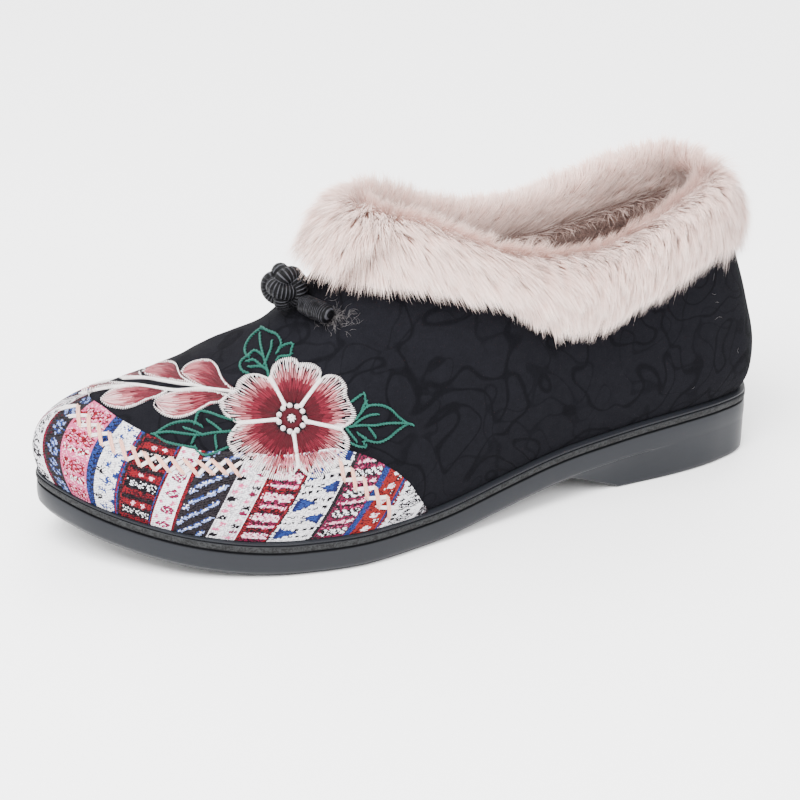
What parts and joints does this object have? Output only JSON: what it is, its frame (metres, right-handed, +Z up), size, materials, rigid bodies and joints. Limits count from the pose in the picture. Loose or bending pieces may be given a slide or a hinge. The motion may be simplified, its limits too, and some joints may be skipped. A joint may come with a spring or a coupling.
{
  "type": "embroidered shoe",
  "caption": "Low winter cloth shoe with a folded fur collar, embroidered vamp, striped woven toe guard, knotted cord fastening and a low-heeled moulded sole.",
  "frame": {"origin": "middle of the part's box on the floor, under the sole", "axes": "+X from heel to toe, +Y to the wearer's left, the shoe's outer side, +Z up"},
  "size_m": [0.2526, 0.0914, 0.1064],
  "materials": {
    "sole": "smooth grey moulded sole with a grained band",
    "footbed": "short brown-pink pile",
    "cloth": "black micro-suede with a faint tone-on-tone floral jacquard",
    "thread": "many-coloured woven ribbon and embroidery thread",
    "fur": "long pinkish-beige artificial fur",
    "cord": "black satin cord"
  },
  "bodies": {
    "root": {"outsole": "sole", "insole": "footbed", "upper": "cloth", "toe_cap": "thread", "fur_collar": "fur", "knot_button": "cord", "knot_loop": "cord"}
  },
  "joints": []
}
